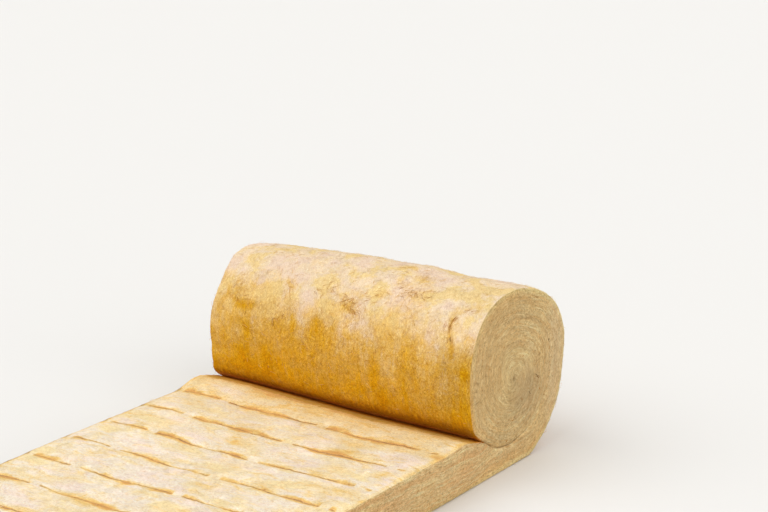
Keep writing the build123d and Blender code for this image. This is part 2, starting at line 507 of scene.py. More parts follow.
topStains = dict(
    ys=[-0.65, -0.05, 0.20, 0.27, 0.315, 0.345, 0.375], amber=[0.06, 0.10, 0.18, 0.28, 0.46, 0.66, 0.85],
    wander=((0.030, 0.010), (0.010, 0.004)),
    spots=[
        (140, 238, 48, 8, 0.62), (80, 253, 32, 6, 0.40), (-215, 248, 30, 6, 0.34), (-100, 252, 52, 6, 0.30),
        (292, 236, 10, 9, 0.60), (-30, 150, 42, 6, 0.46), (145, 156, 28, 12, 0.55), (-250, 148, 35, 6, 0.44),
        (92, 50, 24, 8, 0.60), (0, 48, 22, 6, 0.46), (155, 57, 22, 7, 0.40), (-120, -57, 38, 9, 0.60),
        (-282, -64, 16, 8, 0.50), (130, -50, 26, 6, 0.40), (-70, -158, 7, 15, 0.62),
        (150, -152, 40, 6, 0.34), (-70, -262, 32, 12, 0.62), (-240, -262, 30, 9, 0.50),
        (180, 95, 32, 20, 0.36), (190, 5, 26, 10, 0.40), (-220, 196, 26, 10, 0.34), (30, 5, 42, 24, 0.26),
        (262, 106, 12, 15, 0.36), (150, 205, 40, 14, 0.40), (60, -100, 30, 18, 0.34),
        (-190, 105, 22, 14, 0.26), (-30, 100, 26, 12, 0.30), (90, -205, 36, 16, 0.34),
        (240, 20, 18, 10, 0.34), (-110, -350, 60, 12, 0.5), (120, -355, 50, 10, 0.5),
        (30, -455, 45, 10, 0.5), (-200, -455, 40, 12, 0.5), (150, -555, 40, 12, 0.5),
        (-90, -560, 50, 9, 0.5), (0, -410, 60, 24, 0.3), (200, 196, 46, 20, -0.22), (-180, 5, 70, 32, -0.20),
        (-100, -105, 60, 30, -0.16), (-20, -205, 70, 24, -0.16), (100, 110, 34, 16, -0.16),
        (-150, 200, 50, 20, -0.14), (0, 205, 40, 18, -0.14), (20, 300, 110, 34, 0.14),
        (-200, 285, 60, 16, -0.08), (-150, 325, 110, 16, 0.20), (220, 325, 80, 14, 0.08),
    ],
)


points = swollen(points)
normals = outwardNormals(points)


def stained(across, along, stains, seed):
    # The sum of soft ovals, strength times exp(-r squared) with r in half sizes, their outlines pushed about.
    spot = together(across, along, 0.0).reshape(-1, 3)
    for number, (size, amount) in enumerate(stains["wander"]):
        push = [wander(spot, size, seed + 2 * number + axis) * amount for axis in (0, 1)]
        spot = spot + np.stack([*push, np.zeros(len(spot))], axis=1)
    x, y, halfX, halfY, strength = np.array(stains["spots"]).T[:, None, :]
    distance = ((spot[:, :1] * 1000 - x) / halfX) ** 2 + ((spot[:, 1:2] * 1000 - y) / halfY) ** 2
    return (strength * np.exp(-distance)).sum(axis=1).reshape(np.shape(across))


def amberOf(gridName):
    across, along = np.moveaxis(grids[gridName][2], -1, 0)
    if gridName == "top":
        return np.interp(along, topStains["ys"], topStains["amber"]) + stained(across, along, topStains, 51)
    down = along - skinStains["topLine"]
    base = np.interp(along, skinStains["lengths"], skinStains["amber"])
    return base + stained(across, down, skinStains, 41) + creased(across, down)[1]


amber = np.full(len(points), 0.3)
for gridName in ("skin", "top"):
    amber[gridNumbers[gridName]] = amberOf(gridName)

woolPieces = []


def inScene(name, data):
    made = bpy.data.objects.new(name, data)
    bpy.context.scene.collection.objects.link(made)
    return made


def addWool(name, points, faceGroups, faceKinds, cornerUv, pointAmber):
    # One piece of wool. A face's kind is the number of its material: skin, top, cut or tuft.
    mesh = bpy.data.meshes.new(name)
    corners = np.concatenate([group.ravel() for group in faceGroups])
    sides = np.concatenate([np.full(len(group), group.shape[1]) for group in faceGroups])
    mesh.vertices.add(len(points))
    mesh.loops.add(len(corners))
    mesh.polygons.add(len(sides))
    mesh.vertices.foreach_set("co", points.astype(np.float32).ravel())
    mesh.loops.foreach_set("vertex_index", corners.astype(np.int32))
    mesh.polygons.foreach_set("loop_start", (np.cumsum(sides) - sides).astype(np.int32))
    mesh.polygons.foreach_set("material_index", np.concatenate(faceKinds).astype(np.int32))
    mesh.polygons.foreach_set("use_smooth", np.ones(len(sides), bool))
    mesh.uv_layers.new(name="woolLength").data.foreach_set("uv", cornerUv.astype(np.float32).ravel())
    mesh.attributes.new("amber", "FLOAT", "POINT").data.foreach_set("value", pointAmber.astype(np.float32))
    mesh.update(calc_edges=True)
    mesh.validate()
    piece = inScene(name, mesh)
    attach(piece, "root")
    woolPieces.append(piece)
    print("%s made, %d faces" % (name, len(sides)))
    return piece


cornerLengths = np.concatenate([lengths[group].reshape(-1, 2) for group in shapes])
woolMat = addWool("woolMat", points, [same[group] for group in shapes], shapeKinds, cornerLengths, amber)
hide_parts("insulation_mat")


def unit(vectors):
    return vectors / np.maximum(np.linalg.norm(vectors, axis=-1, keepdims=True), 1e-9)


def between(values, rows, columns):
    # The mean of a grid's four corners round each spot, given by its row and column with their fractions.
    row, column = rows.astype(int), columns.astype(int)
    f, g = (rows - row)[:, None], (columns - column)[:, None]
    near = values[row, column] * (1 - f) + values[row + 1, column] * f
    far = values[row, column + 1] * (1 - f) + values[row + 1, column + 1] * f
    return near * (1 - g) + far * g


def scatterRoots(gridName, firstRow, lastRow, count, chance):
    # Random spots on a grid of the mat, as many on each patch as its area asks for: the place, the way out of
    # the surface, the lengths for the UV map, the amber and the way along the rows.
    numbers = gridNumbers[gridName][firstRow:lastRow]
    place = points[numbers]
    down, right = place[1:, :-1] - place[:-1, :-1], place[:-1, 1:] - place[:-1, :-1]
    area = np.linalg.norm(np.cross(down, right), axis=-1).ravel()
    cell = chance.choice(len(area), count, p=area / area.sum())
    row, column = np.divmod(cell, numbers.shape[1] - 1)
    f, g = chance.random((2, count))
    values = (place, normals[numbers], grids[gridName][2][firstRow:lastRow], amber[numbers][..., None])
    return [*(between(v, row + f, column + g) for v in values), down[row, column]]


def fibrePiece(name, centres, outward, radius, taper, uv, kind, fibreAmber):
    # A triangle carried along each fibre's line and closed at both ends, thinner towards the tip. Each fibre
    # has one spot on the UV map and one amber.
    along = unit(np.gradient(centres, axis=1))
    sideways = unit(np.cross(along, outward[:, None]))
    upwards = np.cross(sideways, along)
    angle = 2 * math.pi / 3 * np.arange(3)[:, None]
    ring = upwards[:, :, None] * np.cos(angle) + sideways[:, :, None] * np.sin(angle)
    thickness = radius[:, None] * (1 - taper * np.linspace(0, 1, centres.shape[1]))
    corners = centres[:, :, None] + ring * thickness[..., None, None]
    number = np.arange(corners[..., 0].size).reshape(corners.shape[:3])
    following = np.roll(number, -1, axis=2)
    quads = np.stack([number[:, :-1], following[:, :-1], following[:, 1:], number[:, 1:]], axis=-1)
    quads = quads.reshape(-1, 4)
    caps = np.concatenate([number[:, 0, ::-1], number[:, -1]]).reshape(-1, 3)
    perFibre = 3 * centres.shape[1]
    cornerUv = np.concatenate([uv[faces // perFibre].reshape(-1, 2) for faces in (quads, caps)])
    kinds = [np.full(len(faces), kind) for faces in (quads, caps)]
    addWool(name, corners.reshape(-1, 3), [quads, caps], kinds, cornerUv, np.repeat(fibreAmber, perFibre))


# Loose fibres on each kind of face: sizes in metres, and turn is how far they stray from the rows, in radians.
fibreSets = dict(
    skinFibres=dict(
        grids=[("skin", 214, skinRows - 2)], count=8500, length=(0.006, 0.020), radius=(0.00016, 0.00034),
        lift=0.0024, turn=3.1, bend=0.5, spread=0.16, kind=0,
    ),
    topFibres=dict(
        grids=[("top", 2, topRows - 4)], count=7500, length=(0.006, 0.018), radius=(0.00014, 0.00030),
        lift=0.0020, turn=3.1, bend=0.5, spread=0.14, kind=1,
    ),
    cutFibres=dict(
        grids=[
            ("right", 0, len(pathOuter) - 1), ("left", 0, len(pathOuter) - 1), ("end", 0, len(throughShare)),
        ],
        count=8500, length=(0.004, 0.011), radius=(0.00014, 0.00030),
        lift=0.0018, turn=0.3, bend=0.3, spread=0.0, kind=2,
    ),
)
looseFibre = dict(stations=4, taper=0.5, sunk=0.0004, proud=0.003, offFloor=0.0006)


def makeLoose(name, look, seed):
    # Each starts just inside the surface, runs along it, bends sideways as s squared and lifts as s to 1.5.
    chance = np.random.default_rng(seed)
    reach = [np.ptp(grids[grid][0].reshape(-1, 3), axis=0).sum() for grid, _, _ in look["grids"]]
    counts = [int(look["count"] * own / sum(reach)) for own in reach]
    found = [scatterRoots(*grid, count, chance) for grid, count in zip(look["grids"], counts)]
    root, outward, uv, rootAmber, along = (np.concatenate([f[n] for f in found]) for n in range(5))
    outward = unit(outward)
    along = unit(along - outward * (along * outward).sum(axis=1, keepdims=True))
    count = len(root)
    turn = chance.uniform(-look["turn"], look["turn"], (count, 1))
    turn = turn + math.pi * chance.integers(0, 2, (count, 1))
    heading = along * np.cos(turn) + np.cross(outward, along) * np.sin(turn)
    length = chance.uniform(*look["length"], (count, 1, 1))
    bend = chance.uniform(-look["bend"], look["bend"], (count, 1, 1))
    lift = look["lift"] * chance.uniform(0.1, 1.0, (count, 1, 1)) ** 2
    s = np.linspace(0, 1, looseFibre["stations"])[None, :, None]
    beside = np.cross(outward, heading)
    centres = root[:, None] + length * (heading[:, None] * s + beside[:, None] * bend * s ** 2)
    centres = centres + outward[:, None] * (lift * s ** 1.5 - looseFibre["sunk"] * (1 - s))
    farthest = halfWidth + looseFibre["proud"]
    centres[..., 0] = np.clip(centres[..., 0], -farthest, farthest)
    centres[..., 2] = np.maximum(centres[..., 2], looseFibre["offFloor"])
    radius = chance.uniform(*look["radius"], count)
    fibreAmber = rootAmber[:, 0] + chance.normal(0, look["spread"], count)
    fibrePiece(name, centres, outward, radius, looseFibre["taper"], uv, look["kind"], fibreAmber)


# Tufts of short curled fibres on the front of the roll. Each row: middle across and down from topLine, spread,
# number of fibres, heading in degrees with 0 across and 90 down the roll, how far they stray from it.
tufts = dict(
    places=[
        (22, 172, 9, 26, 10, 60), (34, 180, 8, 18, 20, 50), (8, 166, 7, 14, -30, 60),
        (56, 152, 12, 14, -12, 20), (-35, 146, 11, 18, -20, 60), (-52, 154, 8, 12, 40, 60),
        (134, 126, 9, 22, 20, 80), (150, 120, 7, 14, 40, 80), (162, 130, 3, 8, 0, 80),
        (112, 134, 9, 10, 0, 80), (246, 152, 6, 12, 120, 30), (237, 168, 5, 18, 80, 25),
        (244, 190, 6, 14, 65, 25), (252, 137, 6, 10, -45, 30), (-120, 157, 8, 12, 40, 40),
        (-230, 188, 14, 20, 0, 90), (-210, 200, 14, 16, 0, 90), (-140, 230, 14, 14, 60, 80),
        (-120, 215, 14, 14, 60, 80), (-204, 249, 9, 14, 35, 25), (86, 56, 12, 10, 10, 60),
        (180, 232, 16, 10, 90, 60), (224, 292, 14, 12, 20, 80), (-60, 250, 18, 10, 60, 60),
    ],
    share=0.6, strays=200, strayTo=0.285, strayDown=(0.03, 0.35), stations=9, length=(0.006, 0.018),
    radius=(0.00026, 0.00048), bend=1.6, lift=0.0014, sunk=0.0002, taper=0.6, inset=0.004,
    depth=(0.30, 0.85), strayDepth=(0.0, 0.35),
)


def spotsOnSkin(x, length):
    # Points of the roll's skin and the ways out of it, by how far across and how far along the skin they lie.
    rows = np.interp(length, skinLength[:skinRows], np.arange(skinRows))
    columns = np.interp(x, acrossX, np.arange(len(acrossX)))
    numbers = gridNumbers["skin"]
    return between(points[numbers], rows, columns), between(normals[numbers], rows, columns)


def curled(start, heading, length, bend, stations):
    # Lines on the flat, as complex numbers: each turns evenly, its heading plus bend times s less a half.
    turning = heading[:, None] + bend * (np.linspace(0, 1, stations) - 0.5)
    return start[:, None] + np.cumsum(np.exp(1j * turning) * (length / (stations - 1))[:, None], axis=1)


def makeTufts():
    # Each fibre arches over the skin, as 4 s (1 - s). Strays lie anywhere on the front.
    chance = np.random.default_rng(71)
    x, down, spread, many, heading, stray = np.array(tufts["places"], float).T
    tuft = np.repeat(np.arange(len(x)), np.round(many * tufts["share"]).astype(int))
    strays, farthest = tufts["strays"], tufts["strayTo"]
    count = len(tuft) + strays
    x = [(x[tuft] + chance.normal(0, spread[tuft])) / 1000, chance.uniform(-farthest, farthest, strays)]
    down = (down[tuft] + chance.normal(0, spread[tuft] * 0.6)) / 1000
    down = [down, chance.uniform(*tufts["strayDown"], strays)]
    heading = np.radians(heading[tuft] + stray[tuft] * chance.uniform(-1, 1, len(tuft)))
    heading = [heading, chance.uniform(0, 6.3, strays)]
    x, down, heading = (np.concatenate(both) for both in (x, down, heading))
    length = chance.uniform(*tufts["length"], count)
    bend = chance.uniform(-tufts["bend"], tufts["bend"], (count, 1))
    line = curled(x + 1j * down, heading, length, bend, tufts["stations"])
    across = np.clip(line.real, -halfWidth + tufts["inset"], halfWidth - tufts["inset"])
    along = skinStains["topLine"] + line.imag
    place, outward = (found.reshape(*across.shape, 3) for found in spotsOnSkin(across.ravel(), along.ravel()))
    s = np.linspace(0, 1, tufts["stations"])
    arch = tufts["lift"] * chance.uniform(0.2, 1.0, (count, 1)) * 4 * s * (1 - s) - tufts["sunk"]
    radius = chance.uniform(*tufts["radius"], count)
    depth = [chance.uniform(*tufts["depth"], len(tuft)), chance.uniform(*tufts["strayDepth"], strays)]
    uv = np.stack([across.mean(axis=1), along.mean(axis=1)], axis=1)
    centres, facing = place + outward * arch[..., None], outward[:, tufts["stations"] // 2]
    fibrePiece("skinTufts", centres, facing, radius, tufts["taper"], uv, 3, np.concatenate(depth))


# Dark scraps on the right end: y and z in millimetres, heading in degrees, length in millimetres.
endScraps = dict(
    places=[
        (546, 158, -35, 13), (550, 153, -40, 8), (592, 202, 80, 9), (593, 190, 85, 6), (594, 167, -20, 6),
        (525, 131, -50, 9), (519, 138, -30, 6), (580, 108, -30, 7), (498, 122, -20, 6), (452, 52, 10, 6),
        (434, 234, 20, 6), (386, 206, 75, 5), (500, 200, 30, 5), (560, 128, -60, 6), (471, 86, 5, 6),
        (420, 96, 10, 5),
    ],
    stations=4, radius=0.0010, bend=0.25, proud=0.0002, taper=0.5, depth=(0.65, 1.0), darkest=9,
)


def makeScraps():
    # Each is a short prism that lies on the cut face, a little bent.
    look = endScraps
    y, z, heading, length = np.array(look["places"], float).T
    right = points[gridNumbers["right"].ravel()]
    line = curled((y + 1j * z) / 1000, np.radians(heading), length / 1000, look["bend"], look["stations"])
    nearest = np.argmin(abs(right[:, 1] + 1j * right[:, 2] - line.reshape(-1, 1)), axis=1)
    centres = solid3(right[nearest, 0].reshape(line.shape) + look["proud"], line)
    many = len(y)
    depth = np.clip(length / look["darkest"], *look["depth"])
    facing, radius = np.tile([1.0, 0.0, 0.0], (many, 1)), np.full(many, look["radius"])
    fibrePiece("endScraps", centres, facing, radius, look["taper"], np.zeros((many, 2)), 3, depth)


makeTufts()
makeScraps()
for number, (name, look) in enumerate(fibreSets.items()):
    makeLoose(name, look, 61 + number)


# Node helpers. They add to the tree that newMaterial or newGroup began, and take values or nodes' outputs.
tree = None


def plug(socket, value):
    if isinstance(value, bpy.types.NodeSocket):
        tree.links.new(value, socket)
    else:
        socket.default_value = value


def addNode(kind, inputs=None, **settings):
    node = tree.nodes.new(kind)
    for name, value in settings.items():
        setattr(node, name, value)
    for name, value in (inputs or {}).items():
        plug(node.inputs[name], value)
    return node


def calc(operation, *values):
    return addNode("ShaderNodeMath", dict(enumerate(values)), operation=operation).outputs[0]


times, plus, minus, larger, timesPlus = (
    partial(calc, operation) for operation in ("MULTIPLY", "ADD", "SUBTRACT", "MAXIMUM", "MULTIPLY_ADD"))


def vectorCalc(operation, first, second):
    inputs = {0: first, "Scale" if operation == "SCALE" else 1: second}
    node = addNode("ShaderNodeVectorMath", inputs, operation=operation)
    return node.outputs["Value" if operation == "DISTANCE" else "Vector"]


def parted(vector):
    return addNode("ShaderNodeSeparateXYZ", {0: vector}).outputs


def nudged(amount, mask, share):
    # The amount plus the share of the mask less a half.
    return timesPlus(minus(mask, 0.5), share, amount)


def ramped(value, low, high, toLow=0.0, toHigh=1.0):
    inputs = {"Value": value, "From Min": low, "From Max": high, "To Min": toLow, "To Max": toHigh}
    return addNode("ShaderNodeMapRange", inputs, interpolation_type="SMOOTHSTEP").outputs[0]


def colour(*channels):
    # A colour as a screen shows it, 0 to 255, made linear.
    linear = [((c / 255 + 0.055) / 1.055) ** 2.4 if c > 10 else c / 255 / 12.92 for c in channels]
    return (*linear, 1.0)


def blended(factor, first, second, kind="MIX"):
    first, second = (colour(*tone) if isinstance(tone, tuple) else tone for tone in (first, second))
    inputs = {0: factor, 6: first, 7: second}
    return addNode("ShaderNodeMix", inputs, data_type="RGBA", blend_type=kind, clamp_factor=True).outputs[2]


def layered(tone, look, layers):
    # Paints laid over the tone in turn, each as strong as its mask times its share.
    for paint, mask, share in layers:
        tone = blended(times(mask, share), tone, look[paint] if isinstance(paint, str) else paint)
    return tone


def rampOf(amount, tones):
    # Colours along the amount: each tone has its place and its red, green and blue.
    shade = addNode("ShaderNodeValToRGB", {0: amount})
    stops = shade.color_ramp.elements
    for stop, (place, *tone) in ((stops[0], tones[0]), (stops[1], tones[-1])):
        stop.position = place
        stop.color = colour(*tone)
    for place, *tone in tones[1:-1]:
        stops.new(place).color = colour(*tone)
    return shade.outputs[0]


def stretched(vector, scale, turn=(0, 0, 0)):
    return addNode("ShaderNodeMapping", {"Vector": vector, "Scale": scale, "Rotation": turn}).outputs[0]


def noise(vector, scale, detail, roughness=0.5, distortion=0.0):
    return addNode("ShaderNodeTexNoise", {
        "Vector": vector, "Scale": scale, "Detail": detail, "Roughness": roughness, "Distortion": distortion,
    }).outputs


def newGroup(name, numbers, outputs):
    # A node group with a vector, the numbers and their values, and plain outputs.
    global tree
    tree = bpy.data.node_groups.new(name, "ShaderNodeTree")
    tree.interface.new_socket(name="Vector", in_out="INPUT", socket_type="NodeSocketVector")
    for title, value in numbers.items():
        socket = tree.interface.new_socket(name=title, in_out="INPUT", socket_type="NodeSocketFloat")
        socket.default_value = value
    for title in outputs:
        tree.interface.new_socket(name=title, in_out="OUTPUT", socket_type="NodeSocketFloat")
    return tree, tree.nodes.new("NodeGroupInput").outputs, tree.nodes.new("NodeGroupOutput").inputs


def makeStrands():
    # Felted fibres: three sets of stretched noise at different turns, bent by a slow wander and ridged. The
    # highest of the three ridges shows.
    group, given, result = newGroup("feltedStrands", {"Size": 1.0, "Curl": 0.5}, ["Strands", "Grain"])
    sized = vectorCalc("SCALE", given["Vector"], given["Size"])
    slow = vectorCalc("SUBTRACT", noise(sized, 22.0, 2.0)["Color"], (0.5, 0.5, 0.5))
    bent = vectorCalc("ADD", sized, vectorCalc("SCALE", slow, times(given["Curl"], 0.10)))
    ridges = 0.0
    for turn in ((0.3, 0.2, 0.4), (1.1, 0.7, 1.7), (0.5, 1.9, 2.6)):
        laid = noise(stretched(bent, (900, 110, 900), turn), 1.0, 2.0, 0.6)["Fac"]
        ridges = larger(ridges, minus(1.0, times(calc("ABSOLUTE", minus(laid, 0.5)), 5.0)))
    plug(result["Strands"], ridges)
    plug(result["Grain"], noise(bent, 260.0, 5.0, 0.72, 0.6)["Fac"])
    return group


def makeMottle():
    # Soft patches: noise that is pushed about by a coarser noise, cut between two levels.
    numbers = {"Scale": 10.0, "Swirl": 1.0, "Low": 0.4, "High": 0.6, "Roughness": 0.55}
    group, given, result = newGroup("mottledWool", numbers, ["Mask"])
    patches = noise(given["Vector"], given["Scale"], 6.0, given["Roughness"], given["Swirl"])["Fac"]
    plug(result["Mask"], ramped(patches, given["Low"], given["High"]))
    return group


strandsGroup = makeStrands()
mottleGroup = makeMottle()


def strands(vector, size, curl):
    inputs = {"Vector": vector, "Size": size, "Curl": curl}
    return addNode("ShaderNodeGroup", inputs, node_tree=strandsGroup).outputs


def mottle(vector, scale, low, high, swirl=1.0, roughness=0.55):
    # A scale of three numbers stretches the patches.
    if isinstance(scale, tuple):
        vector, scale = stretched(vector, scale), 1.0
    return addNode("ShaderNodeGroup", {
        "Vector": vector, "Scale": scale, "Swirl": swirl, "Low": low, "High": high, "Roughness": roughness,
    }, node_tree=mottleGroup).outputs["Mask"]


def mottles(vector, look, *names):
    return (mottle(vector, *look[name]) for name in names)


def grainShaded(tone, vector, scale, strength, green, blue, level=1.0):
    # Fine painted light and shade of the wool's relief: the tone times its level plus strength times the noise
    # less a half. Green and blue swing more than red does, because the wool is paler where it is lighter.
    swing = times(minus(mottle(vector, scale, 0.32, 0.68, 1.2, 0.75), 0.5), strength)
    channels = {n: timesPlus(swing, share, level) for n, share in enumerate((1.0, green, blue))}
    return blended(1.0, tone, addNode("ShaderNodeCombineXYZ", channels).outputs[0], "MULTIPLY")


def tinted(tone, tint, pale, look):
    # The pale wool is rosy in places and golden in others.
    levels = {name: ramped(tint, *look[name + "Levels"], 0.0, look["tint"]) for name in ("rosy", "golden")}
    return layered(tone, look, [(name, level, pale) for name, level in levels.items()])


def newMaterial(name, roughness=1.0):
    global tree
    material = bpy.data.materials.new(name)
    material.use_nodes = True
    tree = material.node_tree
    tree.nodes.clear()
    shader = addNode("ShaderNodeBsdfPrincipled", {"Roughness": roughness, "Specular IOR Level": 0.05})
    addNode("ShaderNodeOutputMaterial", {"Surface": shader.outputs[0]})
    return material, shader.inputs


def woolPlace():
    # A point's place in metres, and its lengths across and along the wool.
    place = addNode("ShaderNodeTexCoord").outputs["Object"]
    return place, addNode("ShaderNodeUVMap", uv_map="woolLength").outputs[0]


def amberValue():
    return addNode("ShaderNodeAttribute", attribute_name="amber").outputs["Fac"]


def finished(material, shader, tone, height, grain):
    plug(shader["Base Color"], tone)
    bump = addNode("ShaderNodeBump", {"Height": height, "Distance": grain, "Strength": 1.0})
    plug(shader["Normal"], bump.outputs[0])
    return material


# The underside of the mat, which is the roll's outside: mottled amber. Each kind of patch has its scale, the
# levels that it is cut between, its swirl and its roughness. Strands have their size and curl.
skinLook = dict(
    tones=[
        (0.00, 255, 237, 210), (0.30, 253, 217, 150), (0.55, 245, 190, 78), (0.80, 253, 191, 26),
        (1.00, 247, 171, 8),
    ],
    strandTones=[(0.00, 255, 247, 220), (0.45, 255, 221, 124), (0.85, 246, 184, 24)],
    # The shade colours are painted shade by the crevice, and the nip colour is painted warm light inside it.
    palePit=(214, 160, 88), amberPit=(154, 93, 4), shade=(168, 96, 10), shadeTooth=(120, 68, 24),
    nip=(226, 148, 64), rosy=(251, 228, 218), rosyLevels=(0.49, 0.39), golden=(254, 224, 130),
    goldenLevels=(0.50, 0.60), tint=0.80,
    patches=(8.0, 0.30, 0.70, 1.0, 0.45), clouds=(24.0, 0.30, 0.70, 1.8, 0.5),
    wisps=(90.0, 0.30, 0.72, 2.4, 0.65), flecks=(125.0, 0.42, 0.60, 2.2, 0.7),
    streaks=((62, 9, 1), 0.36, 0.64, 1.2, 0.6),
    hatching=((260, 160, 1), 0.38, 0.66, 2.0, 0.6), shadeTeeth=((190, 34, 1), 0.30, 0.70, 0.5),
    locks=(0.20, 2.2), strokes=(0.45, 2.4), felt=(0.55, 1.0), fine=(330, 190, 1), grain=0.0011,
)


def makeSkinMaterial():
    look = skinLook
    material, shader = newMaterial("amberUnderside")
    place, flat = woolPlace()
    x, along, _ = parted(flat)
    stain = amberValue()
    patches, clouds, wisps, flecks = mottles(place, look, "patches", "clouds", "wisps", "flecks")
    streaks, hatching, shadeTeeth = mottles(flat, look, "streaks", "hatching", "shadeTeeth")
    locks, strokes, felt = (strands(place, *look[name]) for name in ("locks", "strokes", "felt"))
    amount = plus(stain, ramped(stain, 0.10, 0.32, -0.02, 0.04))
    streakShare = timesPlus(stain, 0.17, 0.02)
    for mask, share in ((patches, 0.14), (clouds, 0.15), (streaks, streakShare), (wisps, 0.09)):
        amount = nudged(amount, mask, share)
    amount = timesPlus(minus(0.35, locks["Strands"]), 0.16, amount)
    tone = rampOf(amount, look["tones"])
    tone = tinted(tone, noise(place, 17.0, 4.0, 0.6)["Fac"], ramped(amount, 0.55, 0.05), look)
    pits = larger(ramped(felt["Grain"], 0.50, 0.32), times(hatching, 0.8))
    pits = larger(pits, ramped(strokes["Strands"], 0.80, 1.0, 0.0, 0.85))
    pitTone = blended(ramped(stain, 0.15, 0.65), look["palePit"], look["amberPit"])
    # Strands, then pits and small dark flecks, stronger where the wool is amber, as painted shade of the
    # felt's relief.
    tone = layered(tone, look, [
        (rampOf(amount, look["strandTones"]), felt["Strands"], 0.34),
        (pitTone, pits, timesPlus(stain, 0.06, 0.54)),
        (pitTone, flecks, ramped(stain, 0.15, 0.75, 0.10, 0.22)),
    ])
    # Painted light and shade: the roll is a little lighter at its left end, and darker at mid height beside
    # its right end.
    high = parted(place)[2]
    midHeight = times(ramped(high, 0.275, 0.235), ramped(high, 0.115, 0.155))
    level = ramped(x, -0.20, -0.28, 1.0, 1.05)
    level = timesPlus(times(midHeight, ramped(x, 0.18, 0.25)), -0.11, level)
    strength = ramped(stain, 0.05, 0.60, 0.20, 0.36)
    green = ramped(stain, 0.05, 0.60, 1.2, 1.8)
    blue = ramped(stain, 0.05, 0.90, 1.2, 4.2)
    tone = grainShaded(tone, flat, look["fine"], strength, green, blue, level)
    # Painted shade darkens the wool towards the crevice in uneven teeth; painted warm light makes it orange
    # inside.
    toNip = minus(skinLength[rollNip], along)
    ragged = minus(nudged(toNip, shadeTeeth, 0.026), ramped(x, -0.10, 0.18, 0.001, 0.022))
    onRoll = ramped(along, 1.9, 1.95)
    tone = layered(tone, look, [
        ("shade", ramped(ragged, 0.058, 0.012, 0.0, 0.46), onRoll),
        ("shadeTooth", ramped(ragged, 0.024, 0.012, 0.0, 0.30), onRoll),
        ("nip", ramped(toNip, 0.014, 0.004, 0.0, 0.9), onRoll),
    ])
    height = timesPlus(wisps, 0.5, timesPlus(felt["Strands"], 0.5, felt["Grain"]))
    return finished(material, shader, tone, height, look["grain"])


# The upper face of the laid mat: pale, with cutting marks printed across it.
topLook = dict(
    tones=[(0.00, 253, 238, 218), (0.26, 252, 226, 174), (0.60, 247, 202, 104), (1.00, 230, 158, 40)],
    # The ragged colour is partly painted shade beside the crevice, and the shade colour is painted shade in
    # it.
    ink=(142, 76, 4), strand=(255, 246, 222), pit=(230, 168, 62), ragged=(208, 154, 50), shade=(206, 126, 20),
    rosy=(250, 226, 214), rosyLevels=(0.50, 0.36), golden=(252, 224, 146), goldenLevels=(0.51, 0.64),
    tint=0.70, patches=(13.0, 0.40, 0.70, 1.0), clouds=(34.0, 0.46, 0.74, 1.4, 0.65),
    halo=(22.0, 0.42, 0.66, 0.8), flecks=(110.0, 0.50, 0.76, 1.0, 0.7), strong=(30.0, 0.34, 0.62, 0.4),
    dashLength=0.2235, dashGap=0.0215, firstGap=0.1125, edgeGap=0.020, lineWidth=(0.0015, 0.0028),
    felt=(0.55, 1.0), fine=(200, 380, 1), grain=0.0014,
)


def offNearest(value, spacing):
    # How far the value lies from the nearest whole number of spacings.
    share = calc("DIVIDE", value, spacing)
    return times(calc("ABSOLUTE", minus(share, calc("ROUND", share))), spacing)


